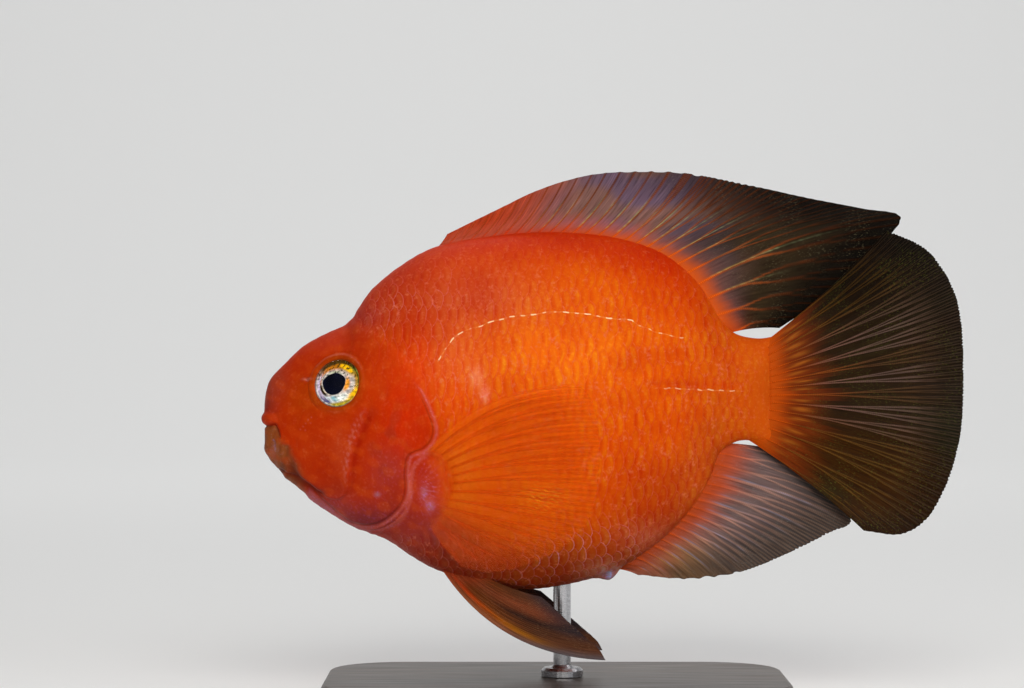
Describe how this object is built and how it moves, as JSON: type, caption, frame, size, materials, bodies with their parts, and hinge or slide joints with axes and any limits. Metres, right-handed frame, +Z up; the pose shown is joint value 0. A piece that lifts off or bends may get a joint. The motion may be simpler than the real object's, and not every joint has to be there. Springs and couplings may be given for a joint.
{
  "type": "blood parrot cichlid display model",
  "caption": "Still, life-size display model of a blood parrot cichlid with spread fins, held side-on by a short rod on a flat base.",
  "frame": {"origin": "centre of the part's box on the stand's underside", "axes": "+X from the fish's mouth towards its tail, +Z up; the fish's left flank faces -Y"},
  "size_m": [0.2, 0.086, 0.1524],
  "materials": {
    "skin": "orange-red scaled skin with a wet sheen",
    "mouth": "ochre skin of the lips and lower jaw",
    "fin": "thin fin skin between rays, orange at the root and dusky outside",
    "eye": "clear eye with a golden and silver iris and a black pupil",
    "stand_base": "black satin lacquer",
    "stand_rod": "brushed"
  },
  "bodies": {
    "root": {"head": "skin", "lower_jaw": "mouth", "gill_cover_left": "skin", "gill_cover_right": "skin", "trunk": "skin", "tail_root": "skin", "eye_left": "eye", "eye_right": "eye", "dorsal_fin": "fin", "anal_fin": "fin", "tail_fin": "fin", "pectoral_fin_left": "fin", "pectoral_fin_right": "fin", "pelvic_fin_left": "fin", "pelvic_fin_right": "fin", "stand_base": "stand_base", "stand_rod": "stand_rod"}
  },
  "joints": []
}
